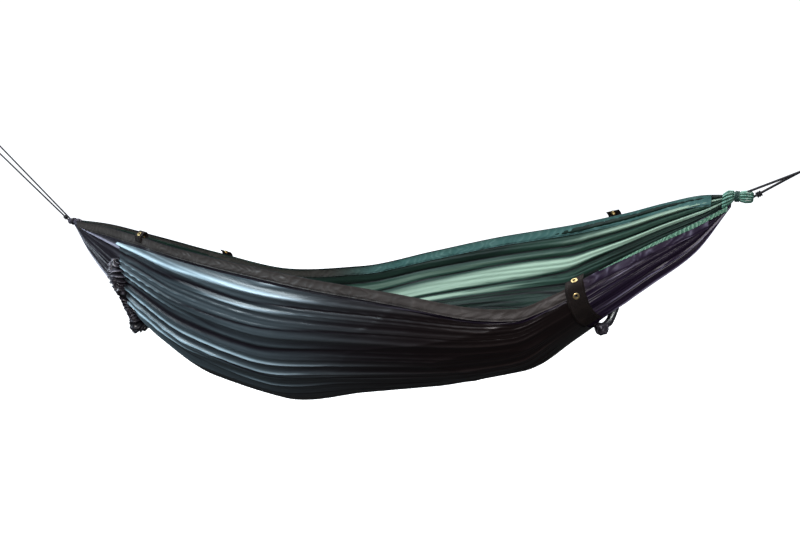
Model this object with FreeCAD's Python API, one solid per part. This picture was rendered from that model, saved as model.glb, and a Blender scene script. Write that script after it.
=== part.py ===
import FreeCAD, Part
import math
import os

V = FreeCAD.Vector
X_AXIS = V(1, 0, 0)
Y_AXIS = V(0, 1, 0)
Z_AXIS = V(0, 0, 1)

# Frame: the origin is the middle of the head carabiner's rod, where the head cord bears on it.
# +X runs level to the same place on the foot carabiner, +Z is up, -Y is the near side. Millimetres.

# suspension
cord_radius = 3.0
cord_clearance = 0.4
head_cord_reach = 600.0
head_cord_rise = 34.3
foot_cord_reach = 174.0
foot_cord_rise = 30.4
bearing_gap = 9.0
head_bight = 16.0
foot_bight = 12.5
head_channel_bend = 5.0
foot_channel_bend = 9.5
knot_cord_radius = 2.0
knot_turns = 3
knot_from_end = 26.0
whipping_radius = 1.5
whipping_turns = 3
whipping_start = 13.0
turn_gap = 0.3
neck_radius = 10.5
channel_length = 27.0

# body of the hammock, measured from the gathered head end
gather_span = 2400.0
foot_end_lift = 250.0
fabric_thickness = 1.6
layer_gap = 1.0
hem_width = 30.0
hem_from = 75.0
hem_to = 2325.0
sleeve_drop = 37.0
sleeve_from = 425.0
sleeve_to = 2025.0
near_lean = math.radians(104)
far_lean = math.radians(100)

# along the length, near edge out and up, far edge out and up, lowest line out and up
outline = (
    (30, -13, 7, 13, 5, 0, -19),
    (130, -52, 14, 50, -5, -10, -120),
    (300, -105, 20, 130, -50, -20, -255),
    (520, -175, 20, 225, -110, -40, -385),
    (800, -255, 12, 315, -165, -50, -470),
    (1100, -315, 6, 348, -130, -50, -485),
    (1400, -345, -3, 330, -42, -50, -405),
    (1650, -343, -12, 285, 36, -50, -335),
    (1850, -305, -30, 225, 92, -40, -267),
    (1920, -275, -28, 202, 112, -35, -240),
    (2000, -235, 6, 178, 138, -30, -170),
    (2100, -180, 70, 140, 172, -20, -80),
    (2200, -125, 132, 100, 210, -15, 12),
    (2300, -68, 190, 55, 242, -8, 105),
    (2370, -14, 232, 14, 252, 0, 222),
)
stations = 49
section_points = 41
arc_steps = 60

# eyelet straps
strap_width = 38.0
strap_thickness = 2.0
head_strap_at = 562.0
foot_strap_at = 2048.0
foot_strap_slant = 0.2
strap_points = 61
fine_points = 400
eyelet_drop = 43.0
eyelet_bore = 4.0
eyelet_barrel = 4.6
eyelet_flange = 8.5
eyelet_lip = 5.8
flange_thickness = 0.8
strap_hole = 4.75
washer_radius = 8.0

# mouths of the mattress sleeve
head_mouth_at = 412.0
foot_mouth_at = 2082.0
mouth_radius = 9.0
mouth_bore = 2.2
mouth_stand_off = 14.5
drawcord_radius = 1.5
mouth_points = 12

# carabiners
rod_radius = 5.0
bow_radius = 20.0
spine_length = 54.0
gate_radius = 4.6
gate_bore = 1.9
gate_length = 44.2
slot_depth = 6.0
slot_half = 2.4
tongue_half = 2.0
pin_radius = 1.5
pin_clearance = 0.05
spring_wire = 0.4
spring_radius = 1.3
spring_pitch = 2.0
spring_length = 12.0

head_end = V(head_cord_reach * math.cos(math.radians(head_cord_rise)), 0,
             -head_cord_reach * math.sin(math.radians(head_cord_rise)))
foot_end = head_end + V(gather_span, 0, foot_end_lift)
foot_anchor = foot_end + V(foot_cord_reach * math.cos(math.radians(foot_cord_rise)), 0,
                           foot_cord_reach * math.sin(math.radians(foot_cord_rise)))


def save(name, shape):
    shape.exportStep(os.path.join("parts", name + ".step"))
    print(name, "solids", len(shape.Solids), "volume", round(shape.Volume), "valid", shape.isValid())


def unit(v):
    return v * (1.0 / v.Length)


# fabric surface

def slopes(xs, ys):
    """Slopes that keep a curve through the points free of overshoot."""
    steps = [(ys[i + 1] - ys[i]) / (xs[i + 1] - xs[i]) for i in range(len(xs) - 1)]
    inner = []
    for before, after in zip(steps, steps[1:]):
        same = before * after > 0
        inner.append(2 * before * after / (before + after) if same else 0.0)
    return [steps[0]] + inner + [steps[-1]]


columns = list(zip(*outline))
outline_slopes = [slopes(columns[0], column) for column in columns[1:]]


def outline_at(x):
    """Near edge, far edge and lowest line of the section at x."""
    xs = columns[0]
    i = max(k for k in range(len(xs) - 1) if xs[k] <= x or k == 0)
    h = xs[i + 1] - xs[i]
    t = (x - xs[i]) / h
    found = []
    for column, slope in zip(columns[1:], outline_slopes):
        found.append((1 + 2 * t) * (1 - t) ** 2 * column[i] + t * (1 - t) ** 2 * h * slope[i]
                     + t * t * (3 - 2 * t) * column[i + 1] + t * t * (t - 1) * h * slope[i + 1])
    return found


def skin(x, s):
    """Point of the outer face at x; s runs from -1 at the near edge to 1 at the far edge."""
    near_out, near_up, far_out, far_up, low_out, low_up = outline_at(x)
    lean, out, up = (near_lean, near_out, near_up) if s < 0 else (far_lean, far_out, far_up)
    turn = abs(s) * lean
    y = low_out + (out - low_out) * math.sin(turn) / math.sin(lean)
    z = low_up + (up - low_up) * (1 - math.cos(turn)) / (1 - math.cos(lean))
    return head_end + V(x, y, z)


def skin_normal(x, s):
    """Outward direction of the fabric at x and s."""
    dx = 2.0
    ds = 0.01
    low, high = max(s - ds, -1.0), min(s + ds, 1.0)
    first, last = max(x - dx, columns[0][0]), min(x + dx, columns[0][-1])
    along = skin(last, s) - skin(first, s)
    round_ = skin(x, high) - skin(x, low)
    return unit(round_.cross(along))


def share_at(x, side, depth):
    """The s that lies the given distance below an edge; side is -1 near, 1 far."""
    s = float(side)
    gone = 0.0
    here = skin(x, s)
    step = 1.0 / arc_steps
    while True:
        following = skin(x, s - side * step)
        run = (following - here).Length
        if gone + run >= depth:
            return s - side * step * (depth - gone) / run
        gone += run
        here = following
        s -= side * step


def evenly(first, last, count):
    return [first + (last - first) * i / (count - 1) for i in range(count)]


def net_normal(net, i, j):
    """Normal of a net of points at i, j."""
    a, b = max(i - 1, 0), min(i + 1, len(net) - 1)
    c, d = max(j - 1, 0), min(j + 1, len(net[0]) - 1)
    return unit((net[i][d] - net[i][c]).cross(net[b][j] - net[a][j]))


def plate(outer, inner):
    """Closed solid between two nets of points."""
    skins = []
    for net in (outer, inner):
        surface = Part.BSplineSurface()
        surface.interpolate(net)
        skins.append(surface)
    faces = [s.toShape() for s in skins]
    u0, u1, v0, v1 = skins[0].bounds()
    borders = [[s.uIso(value) for s in skins] for value in (u0, u1)]
    borders += [[s.vIso(value) for s in skins] for value in (v0, v1)]
    for curves in borders:
        wires = [Part.Wire(curve.toShape()) for curve in curves]
        faces += Part.makeLoft(wires, False, True).Faces
    shell = Part.makeShell(faces)
    shell.sewShape()
    shape = Part.makeSolid(Part.Shell(shell.Faces))
    if shape.Volume < 0:
        shape.reverse()
    return shape


def layer(offset, x_range, s_range, rows=stations, across=section_points):
    """Fabric layer whose outer face is offset outward from the skin.

    s_range gives the two side limits at an x."""
    outer, inner = [], []
    for x in evenly(x_range[0], x_range[1], rows):
        low, high = s_range(x)
        places = [(skin(x, s), skin_normal(x, s)) for s in evenly(low, high, across)]
        outer.append([p + n * offset for p, n in places])
        inner.append([p + n * (offset - fabric_thickness) for p, n in places])
    return plate(outer, inner)


step = fabric_thickness + layer_gap
whole = (columns[0][0], columns[0][-1])


def full_width(x):
    return -1.0, 1.0


def near_strip(x):
    return -1.0, share_at(x, -1, hem_width)


def far_strip(x):
    return share_at(x, 1, hem_width), 1.0


def sleeve_width(x):
    return share_at(x, -1, sleeve_drop), share_at(x, 1, sleeve_drop)


# eyelet straps

def rounded(points, rounds=3):
    """Cuts the corners of a line of points until it is smooth."""
    for _ in range(rounds):
        cut = [points[0]]
        for a, b in zip(points, points[1:]):
            cut += [tuple(p * 0.75 + q * 0.25 for p, q in zip(a, b)),
                    tuple(p * 0.25 + q * 0.75 for p, q in zip(a, b))]
        points = cut + [points[-1]]
    return points


def spaced(points, count):
    """The same line with evenly spaced points."""
    runs = [math.dist(a, b) for a, b in zip(points, points[1:])]
    total = sum(runs)
    found = []
    for want in evenly(0, total, count):
        i = 0
        while i < len(runs) - 1 and want > runs[i]:
            want -= runs[i]
            i += 1
        t = min(want / runs[i], 1.0)
        found.append(tuple(p + (q - p) * t for p, q in zip(points[i], points[i + 1])))
    return found


# distance below the edge, and distance outward; the first eyelet sits on the slope over the edge
over_edge_out = ((-15.2, -4.7), (-8.5, 2.0), (-1.8, 8.7), (12, 8.6), (22, 6.6), (34, 5.9), (60, 5.8),
                 (100, 5.8), (152, 5.8))
over_edge_middle = (-8.5, 2.0)
over_edge_in = ((18, 5.6), (8, 8.0), (-1.8, 8.7), (-8.5, 2.0), (-15.2, -4.7), (-18, -12),
                (-11, -19), (4, -17), (20, -13), (40, -10.5), (60, -9.6), (100, -9.6), (150, -9.6))


def strap_place(x, side, depth, out):
    """Point at a distance below an edge and outward from the skin."""
    if depth < 0:
        top, below = skin(x, side), skin(x, side * 0.99)
        return top + unit(top - below) * -depth + skin_normal(x, side) * out
    s = share_at(x, side, depth)
    return skin(x, s) + skin_normal(x, s) * out


def strap(at, side, profile, slant, eyelets):
    """Webbing strap over an edge, and the place and direction of each of its eyelets."""
    line = spaced(rounded(profile), strap_points)
    net = []
    for offset in evenly(-strap_width / 2, strap_width / 2, 5):
        net.append([strap_place(at + offset + slant * max(d, 0), side, d, o) for d, o in line])
    half = strap_thickness / 2
    flip = 1 if net_normal(net, 2, 5).dot(skin_normal(at, side)) > 0 else -1
    outer = [[p + net_normal(net, i, j) * half * flip for j, p in enumerate(row)]
             for i, row in enumerate(net)]
    inner = [[p - net_normal(net, i, j) * half * flip for j, p in enumerate(row)]
             for i, row in enumerate(net)]
    body = plate(outer, inner)
    middle = net[2]
    places = []
    for want in eyelets:
        j = min(range(len(line)), key=lambda k: math.dist(line[k], want))
        places.append((middle[j], net_normal(net, 2, j) * flip))
    for place, facing in places:
        body = body.cut(Part.makeCylinder(strap_hole, 12, place - facing * 6, facing))
    return body, places


def turned(points, place, facing):
    """Ring turned about the facing direction from a closed outline of (radius, height)."""
    wire = Part.makePolygon([V(r, 0, h) for r, h in points + points[:1]])
    ring = Part.Face(wire).revolve(V(0, 0, 0), Z_AXIS, 360)
    ring.Placement = FreeCAD.Placement(place, FreeCAD.Rotation(Z_AXIS, facing))
    return ring


half_strap = strap_thickness / 2
rivet_gap = 0.06
seat = 0.75
front_low = half_strap + seat
front_high = front_low + flange_thickness
washer_high = -half_strap - seat
washer_low = washer_high - flange_thickness
lip_high = washer_low - rivet_gap
lip_low = lip_high - 0.5
eyelet_outline = [(eyelet_bore, lip_low), (eyelet_lip, lip_low), (eyelet_lip, lip_high),
                  (eyelet_barrel, lip_high), (eyelet_barrel, front_low), (eyelet_flange, front_low),
                  (eyelet_flange, front_low + 0.3), (eyelet_flange - 1.0, front_high),
                  (eyelet_bore + 0.6, front_high), (eyelet_bore, front_high - 0.4)]
washer_outline = [(eyelet_barrel + rivet_gap, washer_low), (washer_radius, washer_low),
                  (washer_radius, washer_high), (eyelet_barrel + rivet_gap, washer_high)]


# cords

def corner_arc(before, corner, after):
    """Tangent points and middle of the arc that rounds a corner, and its radius."""
    into, out = unit(corner - before), unit(after - corner)
    turn = math.acos(max(-1.0, min(1.0, into.dot(out))))
    reach = 0.45 * min((corner - before).Length, (after - corner).Length)
    radius = reach / math.tan(turn / 2)
    start, end = corner - into * reach, corner + out * reach
    to_centre = unit(out - into)
    centre = corner + to_centre * math.hypot(radius, reach)
    return start, centre - to_centre * radius, end, radius


def soft_path(points):
    """Open wire of straight runs joined by tangent arcs."""
    edges = []
    here = points[0]
    radii = []
    for before, corner, after in zip(points, points[1:], points[2:]):
        start, middle, end, radius = corner_arc(before, corner, after)
        edges.append(Part.LineSegment(here, start).toShape())
        edges.append(Part.Arc(start, middle, end).toShape())
        radii.append(round(radius, 1))
        here = end
    edges.append(Part.LineSegment(here, points[-1]).toShape())
    print("arc radii", radii)
    return Part.Wire(edges)


def loop_ends(anchor, towards, spread, bight, end, far_spread, bend):
    """Where the two strands of a cord loop leave the bight and reach the bend in the channel."""
    middle = anchor + towards * (bight - bearing_gap)
    tilt = math.asin((bight - bend) / (end - middle).Length) if spread == far_spread else 0.0
    first = [middle + towards * (bight * math.sin(tilt)) + spread * (sign * bight * math.cos(tilt))
             for sign in (1, -1)]
    last = [end + towards * (bend * math.sin(tilt)) + far_spread * (sign * bend * math.cos(tilt))
            for sign in (1, -1)]
    return middle, first, last


def cord_loop(middle, first, last, towards, bight, end, bend, radius):
    """Round cord: a bight, a strand each side and the bend in the channel."""
    bight_arc = Part.Arc(first[1], middle - towards * bight, first[0]).toShape()
    bend_arc = Part.Arc(last[0], end + towards * bend, last[1]).toShape()
    strands = [Part.LineSegment(first[i], last[i]).toShape() for i in (0, 1)]
    runs = [tube(Part.Wire([edge]), radius) for edge in [bight_arc, bend_arc] + strands]
    joints = [Part.makeSphere(radius, place) for place in first + last]
    length = sum(edge.Length for edge in [bight_arc, bend_arc] + strands)
    print("cord length", round(length, 1), "arc radii", bight, bend)
    return runs[0].multiFuse(runs[1:] + joints).removeSplitter()


def tube(path, radius):
    """Round bar along a wire."""
    first = path.Edges[0]
    start = first.firstVertex().Point
    direction = first.tangentAt(first.FirstParameter)
    ring = Part.Wire(Part.Circle(start, direction, radius).toShape())
    return path.makePipeShell([ring], True, False, 1)


def wrapped_turns(name, centre, axis, major, minor, count):
    """Row of cord turns along an axis."""
    pitch = 2 * minor + turn_gap
    turns = [Part.makeTorus(major, minor, centre + axis * (pitch * i), axis) for i in range(count)]
    save(name, Part.makeCompound(turns))


def oval(centre, half_y, half_z, steps=16):
    """Closed smooth wire across X."""
    turns = [2 * math.pi * i / steps for i in range(steps)]
    curve = Part.BSplineCurve()
    curve.interpolate([centre + V(0, half_y * math.cos(t), half_z * math.sin(t)) for t in turns],
                      PeriodicFlag=True)
    return Part.Wire(curve.toShape())


def channel(name, end, side, bend, half_height, route):
    """Gathered end of the fabric with the way the cord takes through it.

    side is 1 where the hammock lies towards +X of this end, else -1."""
    at = columns[0][0] if side > 0 else columns[0][-1]
    near_out, near_up, far_out, far_up, low_out, low_up = outline_at(at)
    lift = 0.0 if side > 0 else foot_end_lift
    low, high = low_up - lift, max(near_up, far_up) - lift
    shapes = ((-bend - 8.5, 6.0, half_height * 0.7, 0.0), (-bend * 0.4, 8.5, half_height, 0.0),
              (whipping_start - 2.0, neck_radius, neck_radius, 0.0),
              (whipping_start + 11.0, neck_radius, neck_radius, 0.0),
              (channel_length, far_out, (high - low) / 2, (high + low) / 2))
    ovals = [oval(end + V(x * side, 0, z), half_y, half_z) for x, half_y, half_z, z in shapes]
    body = Part.makeLoft(ovals, True, True)
    save(name, body.cut(cord_loop(*route, cord_radius + cord_clearance)))
    wrapped_turns(name.replace("channel", "whipping"),
                  end + V((whipping_start + whipping_radius) * side, 0, 0), X_AXIS * side,
                  neck_radius + whipping_radius + 0.5, whipping_radius, whipping_turns)


def mouth(end_name, at, near_depth, far_depth):
    """Drawn-up mouth of the sleeve, from below the near edge to below the far edge, and its cord."""
    points = []
    for s in evenly(share_at(at, -1, near_depth), share_at(at, 1, far_depth), mouth_points):
        points.append(skin(at, s) + skin_normal(at, s) * mouth_stand_off)
    path = soft_path(points)
    save(end_name + "_sleeve_mouth", tube(path, mouth_radius).cut(tube(path, mouth_bore)))
    save(end_name + "_drawcord", tube(path, drawcord_radius))


# carabiners, drawn flat: the cord bears at the origin and pulls towards +X, the gate is on +Y

hinge_x = -bow_radius - spine_length + 6.0
rod_end_x = hinge_x - 5.5
gate_end_x = hinge_x + gate_length
nose_x = gate_end_x + 0.6


def tongue(from_x, to_x):
    """Flat tongue on the end of the rod."""
    low, high = min(from_x, to_x), max(from_x, to_x)
    return Part.makeBox(high - low, 8.4, 2 * tongue_half, V(low, bow_radius - 4.2, -tongue_half))


def carabiner_body():
    side = V(0, bow_radius, 0)
    bow, far = V(-bow_radius, 0, 0), V(-bow_radius - spine_length, 0, 0)
    edges = [Part.LineSegment(V(rod_end_x, bow_radius, 0), far + side).toShape(),
             Part.Arc(far + side, far - V(bow_radius, 0, 0), far - side).toShape(),
             Part.LineSegment(far - side, bow - side).toShape(),
             Part.Arc(bow - side, V(0, 0, 0), bow + side).toShape(),
             Part.LineSegment(bow + side, V(nose_x, bow_radius, 0)).toShape()]
    body = tube(Part.Wire(edges), rod_radius)
    at_hinge = V(hinge_x, bow_radius, -tongue_half)
    body = body.fuse(tongue(rod_end_x - 1, hinge_x))
    body = body.fuse(Part.makeCylinder(4.2, 2 * tongue_half, at_hinge))
    body = body.fuse(tongue(nose_x + 1, nose_x - slot_depth))
    bore = Part.makeCylinder(pin_radius + pin_clearance, 30, at_hinge - V(0, 0, 15))
    return body.cut(bore).removeSplitter()


def slot(from_x, to_x):
    return Part.makeBox(to_x - from_x, 12, 2 * slot_half, V(from_x, bow_radius - 6, -slot_half))


def carabiner_gate():
    start = V(hinge_x, bow_radius, 0)
    gate = Part.makeCylinder(gate_radius, gate_length, start, X_AXIS)
    gate = gate.fuse(Part.makeSphere(gate_radius, start))
    gate = gate.cut(slot(hinge_x - 6, hinge_x + 4.8))
    gate = gate.cut(slot(gate_end_x - slot_depth, gate_end_x + 1))
    bore = Part.makeCylinder(pin_radius + pin_clearance, 30, start - V(0, 0, 15))
    return gate.cut(bore).cut(Part.makeCylinder(gate_bore, spring_length + 7, start, X_AXIS))


def carabiner_spring():
    coil = Part.makeHelix(spring_pitch, spring_length - 1, spring_radius)
    section = Part.Wire(Part.Circle(V(spring_radius, 0, 0), Y_AXIS, spring_wire).toShape())
    spring = Part.Wire(coil.Edges).makePipeShell([section], True, True)
    spring.Placement = FreeCAD.Placement(V(hinge_x + 5.8, bow_radius, 0),
                                         FreeCAD.Rotation(Z_AXIS, X_AXIS))
    return spring


def carabiner(end_name, at, pull, gate_side):
    """Saves a carabiner's body, gate, pin and spring in place."""
    normal = pull.cross(gate_side)
    place = FreeCAD.Placement(at, FreeCAD.Rotation(pull, gate_side, normal, "XYZ"))
    pin = Part.makeCylinder(pin_radius, 2 * gate_radius - 0.4,
                            V(hinge_x, bow_radius, -gate_radius + 0.2))
    pieces = {"carabiner": carabiner_body(), "gate": carabiner_gate(), "gate_pin": pin,
              "gate_spring": carabiner_spring()}
    for name, shape in pieces.items():
        shape.Placement = place.multiply(shape.Placement)
        save(end_name + "_" + name, shape)
    print(end_name, "gate hinge", place.multVec(V(hinge_x, bow_radius, 0)), "axis", normal)


def make_straps(end_name, at, near_profile, far_profile, slant):
    """The two eyelet straps of one end, with their eyelets and washers."""
    eyelets, washers = [], []
    for side_name, side, profile in (("near", -1, near_profile), ("far", 1, far_profile)):
        line = spaced(rounded(profile), fine_points)
        first_at = min(range(fine_points), key=lambda k: math.dist(line[k], over_edge_middle))
        pitch = math.dist(line[0], line[1])
        second_at = first_at + round(eyelet_drop / pitch)
        body, places = strap(at, side, profile, slant, (over_edge_middle, line[second_at]))
        save(end_name + "_" + side_name + "_strap", body)
        for place, facing in places:
            eyelets.append(turned(eyelet_outline, place, facing))
            washers.append(turned(washer_outline, place, facing))
            print(end_name, side_name, "eyelet", place, facing)
    save(end_name + "_eyelets", Part.makeCompound(eyelets))
    save(end_name + "_washers", Part.makeCompound(washers))


os.makedirs("parts", exist_ok=True)
print("head end", head_end, "foot end", foot_end, "foot anchor", foot_anchor)

# fabric
save("outer_panel", layer(0.0, whole, full_width))
save("inner_panel", layer(-step, whole, full_width))
save("near_hem", layer(step, (hem_from, hem_to), near_strip, across=7))
save("far_hem", layer(-2 * step, (hem_from, hem_to), far_strip, across=7))
save("mat_sleeve", layer(step, (sleeve_from, sleeve_to), sleeve_width))

# suspension
head_pull = unit(head_end)
head_side = head_pull.cross(Y_AXIS)
foot_pull = unit(foot_end - foot_anchor)
foot_side = foot_pull.cross(Y_AXIS)
head_middle, head_first, head_last = loop_ends(V(0, 0, 0), head_pull, head_side, head_bight,
                                               head_end, head_side, head_channel_bend)
foot_middle, foot_first, foot_last = loop_ends(foot_anchor, foot_pull, Y_AXIS, foot_bight,
                                               foot_end, foot_side, foot_channel_bend)
head_route = (head_middle, head_first, head_last, head_pull, head_bight, head_end, head_channel_bend)
foot_route = (foot_middle, foot_first, foot_last, foot_pull, foot_bight, foot_end, foot_channel_bend)
save("head_cord", cord_loop(*head_route, cord_radius))
save("foot_cord", cord_loop(*foot_route, cord_radius))
channel("head_channel", head_end, 1, head_channel_bend, 12.0, head_route)
channel("foot_channel", foot_end, -1, foot_channel_bend, 19.0, foot_route)
for end_name, first, last in (("head", head_first, head_last), ("foot", foot_first, foot_last)):
    strand = min((0, 1), key=lambda i: last[i].z)
    back = unit(first[strand] - last[strand])
    wrapped_turns(end_name + "_cord_knot", last[strand] + back * knot_from_end, back,
                  cord_radius + cord_clearance + knot_cord_radius, knot_cord_radius, knot_turns)
carabiner("head", V(0, 0, 0), head_pull, Y_AXIS)
carabiner("foot", foot_anchor, foot_pull, foot_side)

# eyelet straps and sleeve mouths
make_straps("head", head_strap_at, over_edge_in, over_edge_out, 0.0)
make_straps("foot", foot_strap_at, over_edge_out, over_edge_out, foot_strap_slant)
mouth("head", head_mouth_at, 95.0, 95.0)
mouth("foot", foot_mouth_at, 178.0, 178.0)
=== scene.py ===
import math

import bmesh
import bpy
import numpy as np
from mathutils import Matrix, Vector


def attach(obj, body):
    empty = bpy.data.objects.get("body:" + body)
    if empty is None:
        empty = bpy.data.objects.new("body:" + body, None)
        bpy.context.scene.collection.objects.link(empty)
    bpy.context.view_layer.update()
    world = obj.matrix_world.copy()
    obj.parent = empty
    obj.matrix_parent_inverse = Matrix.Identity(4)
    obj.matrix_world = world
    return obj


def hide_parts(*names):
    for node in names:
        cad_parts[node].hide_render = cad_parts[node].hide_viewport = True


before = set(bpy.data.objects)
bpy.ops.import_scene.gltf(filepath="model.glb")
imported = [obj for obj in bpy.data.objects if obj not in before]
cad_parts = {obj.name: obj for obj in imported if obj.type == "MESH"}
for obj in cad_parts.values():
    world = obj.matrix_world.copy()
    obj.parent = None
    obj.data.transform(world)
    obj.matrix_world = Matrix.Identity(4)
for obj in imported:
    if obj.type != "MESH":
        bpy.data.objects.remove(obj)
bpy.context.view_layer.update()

rowCount = 262
acrossCount = 372
body = "hammock"

# shape of the bed, in metres from the gathered head end
headEnd = np.array([0.49566, 0.0, -0.33812])
footEnd = headEnd + np.array([2.4, 0.0, 0.25])
# along, near edge out and up, far edge out and up, lowest line out and up, in millimetres
outline = np.array([
    (30, -13, 7, 13, 5, 0, -19), (130, -52, 14, 50, -5, -10, -120),
    (300, -105, 20, 130, -50, -20, -255), (520, -175, 20, 225, -110, -40, -385),
    (800, -255, 12, 315, -165, -50, -470), (1100, -315, 6, 348, -130, -50, -485),
    (1400, -345, -3, 330, -42, -50, -405), (1650, -343, -12, 285, 36, -50, -335),
    (1850, -305, -30, 225, 92, -40, -267), (1920, -275, -28, 202, 112, -35, -240),
    (2000, -235, 6, 178, 138, -30, -170), (2100, -180, 70, 140, 172, -20, -80),
    (2200, -125, 132, 100, 210, -15, 12), (2300, -68, 190, 55, 242, -8, 105),
    (2370, -14, 232, 14, 252, 0, 222)]) / 1000
lean = {"near": math.radians(104), "far": math.radians(100)}  # turn of the section up to each edge
bed = {"first": 0.03, "last": 2.37, "girth": 1.25}  # ends of the skin and the cloth's width before gathering


def slopesOf(xs, ys):
    steps = np.diff(ys) / np.diff(xs)
    both = steps[1:] * steps[:-1]
    inner = np.where(both > 0, 2 * both / np.where(both > 0, steps[1:] + steps[:-1], 1), 0)
    return np.concatenate([steps[:1], inner, steps[-1:]])


outlineSlopes = [slopesOf(outline[:, 0], outline[:, i]) for i in range(1, 7)]


def outlineAt(x):
    xs = outline[:, 0]
    i = np.clip(np.searchsorted(xs, x) - 1, 0, len(xs) - 2)
    h = xs[i + 1] - xs[i]
    t = (x - xs[i]) / h
    found = []
    for column, slope in enumerate(outlineSlopes, 1):
        a, b = outline[i, column], outline[i + 1, column]
        found.append((1 + 2 * t) * (1 - t) ** 2 * a + t * (1 - t) ** 2 * h * slope[i]
                     + t * t * (3 - 2 * t) * b + t * t * (t - 1) * h * slope[i + 1])
    return found


def skin(x, s):
    x, s = np.broadcast_arrays(np.asarray(x, float), np.asarray(s, float))
    nearOut, nearUp, farOut, farUp, lowOut, lowUp = outlineAt(x)
    near = s < 0
    turnFull = np.where(near, lean["near"], lean["far"])
    out = np.where(near, nearOut, farOut)
    up = np.where(near, nearUp, farUp)
    turn = np.abs(s) * turnFull
    y = lowOut + (out - lowOut) * np.sin(turn) / np.sin(turnFull)
    z = lowUp + (up - lowUp) * (1 - np.cos(turn)) / (1 - np.cos(turnFull))
    return np.stack([x + headEnd[0], y, z + headEnd[2]], -1)


def outward(x, s):
    x, s = np.broadcast_arrays(np.asarray(x, float), np.asarray(s, float))
    dx, ds = 0.002, 0.01
    first, last = bed["first"], bed["last"]
    along = skin(np.clip(x + dx, first, last), s) - skin(np.clip(x - dx, first, last), s)
    across = skin(x, np.clip(s + ds, -1, 1)) - skin(x, np.clip(s - ds, -1, 1))
    n = np.cross(across, along)
    return n / np.linalg.norm(n, axis=-1, keepdims=True)


girthSamples = np.linspace(-1, 1, 161)


def depthTable(x):
    line = skin(np.full(len(girthSamples), x), girthSamples)
    return np.concatenate([[0], np.cumsum(np.linalg.norm(np.diff(line, axis=0), axis=1))])


def shareAt(x, side, depth):
    run = depthTable(x)
    want = depth if side < 0 else run[-1] - depth
    return float(np.interp(want, run, girthSamples))


girthXs = np.linspace(bed["first"], bed["last"], 60)
girths = np.array([depthTable(x)[-1] for x in girthXs])


def girthAt(x):
    return np.interp(x, girthXs, girths)


# smooth noise and folds
def noise(x, y, seed):
    size = 97
    table = np.random.RandomState(seed).rand(size, size) * 2 - 1
    ix, iy = np.floor(x).astype(int), np.floor(y).astype(int)
    fx, fy = x - ix, y - iy
    fx, fy = fx * fx * (3 - 2 * fx), fy * fy * (3 - 2 * fy)
    a = table[ix % size, iy % size] * (1 - fx) + table[(ix + 1) % size, iy % size] * fx
    b = table[ix % size, (iy + 1) % size] * (1 - fx) + table[(ix + 1) % size, (iy + 1) % size] * fx
    return a * (1 - fy) + b * fy


def pleatWave(s, x, count, seed, sharp):
    phase = (s * 0.5 + 0.5) * count + 1.1 * noise(s * 4 + 20, x * 0.9, seed)
    phase = phase + 0.45 * noise(s * 11 + 9, x * 2.3, seed + 1)
    wave = np.abs(np.sin(math.pi * phase)) ** sharp
    size = 0.62 + 0.38 * noise(s * count * 0.6, x * 2.0, seed + 2)
    return wave * size


def smooth(edgeA, edgeB, value):
    t = np.clip((value - edgeA) / (edgeB - edgeA), 0, 1)
    return t * t * (3 - 2 * t)


# meshes
def gridMesh(name, points, values, uv, material, flip=False):
    rows, columns = points.shape[:2]
    index = np.arange(rows * columns).reshape(rows, columns)
    quads = np.stack([index[:-1, :-1], index[1:, :-1], index[1:, 1:], index[:-1, 1:]], -1).reshape(-1, 4)
    if flip:
        quads = quads[:, ::-1]
    mesh = bpy.data.meshes.new(name)
    mesh.vertices.add(rows * columns)
    mesh.vertices.foreach_set("co", points.reshape(-1))
    mesh.loops.add(quads.size)
    mesh.loops.foreach_set("vertex_index", quads.reshape(-1))
    mesh.polygons.add(len(quads))
    mesh.polygons.foreach_set("loop_start", np.arange(0, quads.size, 4))
    mesh.polygons.foreach_set("use_smooth", np.ones(len(quads), bool))
    mesh.update(calc_edges=True)
    layer = mesh.uv_layers.new(name="metres")
    layer.data.foreach_set("uv", uv.reshape(-1, 2)[quads.reshape(-1)].reshape(-1))
    # the per-point values are painted light and shade, read by the cloth's colour ramp
    attribute = mesh.attributes.new("paintedLight", "FLOAT", "POINT")
    attribute.data.foreach_set("value", values.reshape(-1))
    mesh.materials.append(material)
    thing = bpy.data.objects.new(name, mesh)
    bpy.context.scene.collection.objects.link(thing)
    return thing


def clothGrid(xs, lowS, highS, across):
    t = np.linspace(0, 1, across)
    s = lowS[:, None] * (1 - t) + highS[:, None] * t
    x = np.repeat(xs[:, None], across, 1)
    uv = np.stack([x, (s * 0.5) * girthAt(x)], -1)
    return x, s, uv


# shared effects as node groups
def nodeGroup(name, inputs, outputs):
    group = bpy.data.node_groups.new(name, "ShaderNodeTree")
    for label, kind, value in inputs:
        socket = group.interface.new_socket(label, in_out="INPUT", socket_type=kind)
        if value is not None:
            socket.default_value = value
    for label, kind in outputs:
        group.interface.new_socket(label, in_out="OUTPUT", socket_type=kind)
    start = group.nodes.new("NodeGroupInput")
    end = group.nodes.new("NodeGroupOutput")
    return group, start, end


def put(tree, kind, **settings):
    node = tree.nodes.new(kind)
    for key, value in settings.items():
        if key.startswith("in_"):
            node.inputs[key[3:]].default_value = value
        else:
            setattr(node, key, value)
    return node


def math2(tree, operation, a, b=None):
    node = tree.nodes.new("ShaderNodeMath")
    node.operation = operation
    for i, value in enumerate((a, b)):
        if value is None:
            continue
        if isinstance(value, (int, float)):
            node.inputs[i].default_value = value
        else:
            tree.links.new(value, node.inputs[i])
    return node.outputs[0]


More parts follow.
